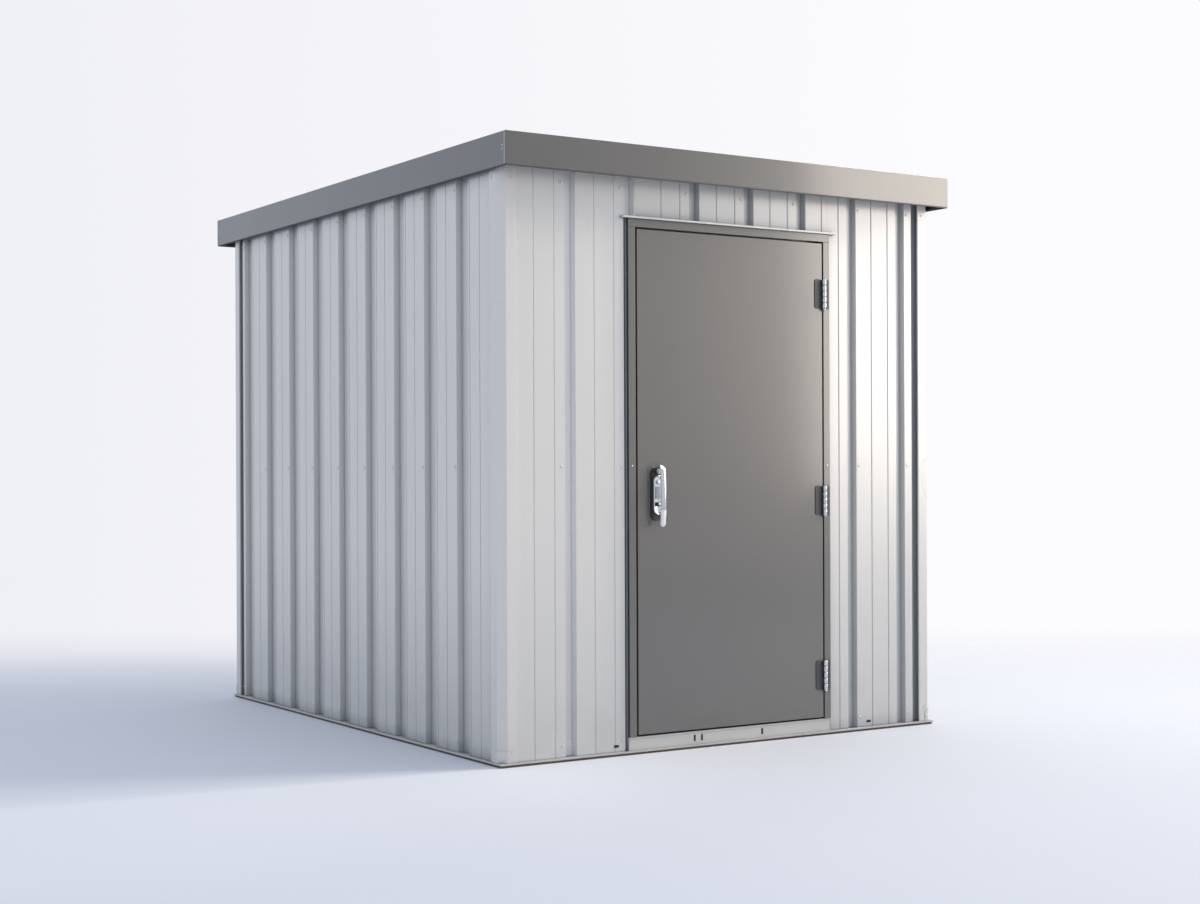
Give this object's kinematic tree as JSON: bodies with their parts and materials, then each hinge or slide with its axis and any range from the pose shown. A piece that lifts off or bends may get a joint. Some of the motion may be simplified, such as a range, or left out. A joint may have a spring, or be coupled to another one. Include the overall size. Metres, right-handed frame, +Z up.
{
  "type": "metal tool shed",
  "caption": "Walk-in metal tool shed with profiled steel walls, chamfered corner posts, a flat dark fascia and a hinged steel door with a chrome lever handle.",
  "frame": {"origin": "on the ground, under the middle of the outline of the roof's fascia", "axes": "+Z up, the front wall with the door faces -Y, the left side wall faces -X, millimetres in the source"},
  "size_m": [2.13, 2.805, 2.29],
  "materials": {
    "wall_paint": "satin light grey coating on profiled sheet",
    "trim_paint": "satin light grey",
    "fascia_paint": "satin dark grey",
    "door_paint": "satin dark warm grey",
    "galvanised_steel": "galvanised, dull",
    "floor_wood": "film-faced plywood",
    "strip_wood": "dark treated board",
    "chrome": "polished",
    "lock_black": "matte black"
  },
  "bodies": {
    "shed": {"base_strips": "strip_wood", "front_base_rail": "trim_paint", "rear_base_rail": "trim_paint", "left_base_rail": "trim_paint", "right_base_rail": "trim_paint", "floor_joists": "galvanised_steel", "floor_board": "floor_wood", "door_sill": "trim_paint", "front_left_post": "trim_paint", "front_right_post": "trim_paint", "rear_left_post": "trim_paint", "rear_right_post": "trim_paint", "corner_caps": "trim_paint", "front_wall_left": "wall_paint", "front_wall_right": "wall_paint", "front_wall_header": "wall_paint", "left_wall": "wall_paint", "right_wall": "wall_paint", "rear_wall": "wall_paint", "front_left_girt": "galvanised_steel", "front_right_girt": "galvanised_steel", "left_girt": "galvanised_steel", "right_girt": "galvanised_steel", "rear_girt": "galvanised_steel", "front_top_rail": "galvanised_steel", "rear_top_rail": "galvanised_steel", "left_top_rail": "galvanised_steel", "right_top_rail": "galvanised_steel", "left_jamb": "door_paint", "right_jamb": "door_paint", "door_head": "door_paint", "drip_cap": "trim_paint", "hinge_frame_leaves": "chrome", "roof_purlins": "galvanised_steel", "roof_sheet": "fascia_paint", "front_fascia": "fascia_paint", "rear_fascia": "fascia_paint", "left_fascia": "fascia_paint", "right_fascia": "fascia_paint"},
    "door": {"door_leaf": "door_paint", "hinge_door_leaves": "door_paint", "handle_plate": "lock_black", "handle_dish": "chrome", "lock_cylinder": "lock_black"},
    "handle": {"handle_lever": "chrome"}
  },
  "joints": [
    {"name": "door_swing", "type": "hinge", "parent": "shed", "child": "door", "pos_m": [0.4535, -1.3335, 0.95], "axis": [0, 0, 1], "range_deg": [0, 110]},
    {"name": "handle_turn", "type": "hinge", "parent": "door", "child": "handle", "pos_m": [-0.365, -1.3235, 1.07], "axis": [0, -1, 0], "range_deg": [0, 90]}
  ]
}
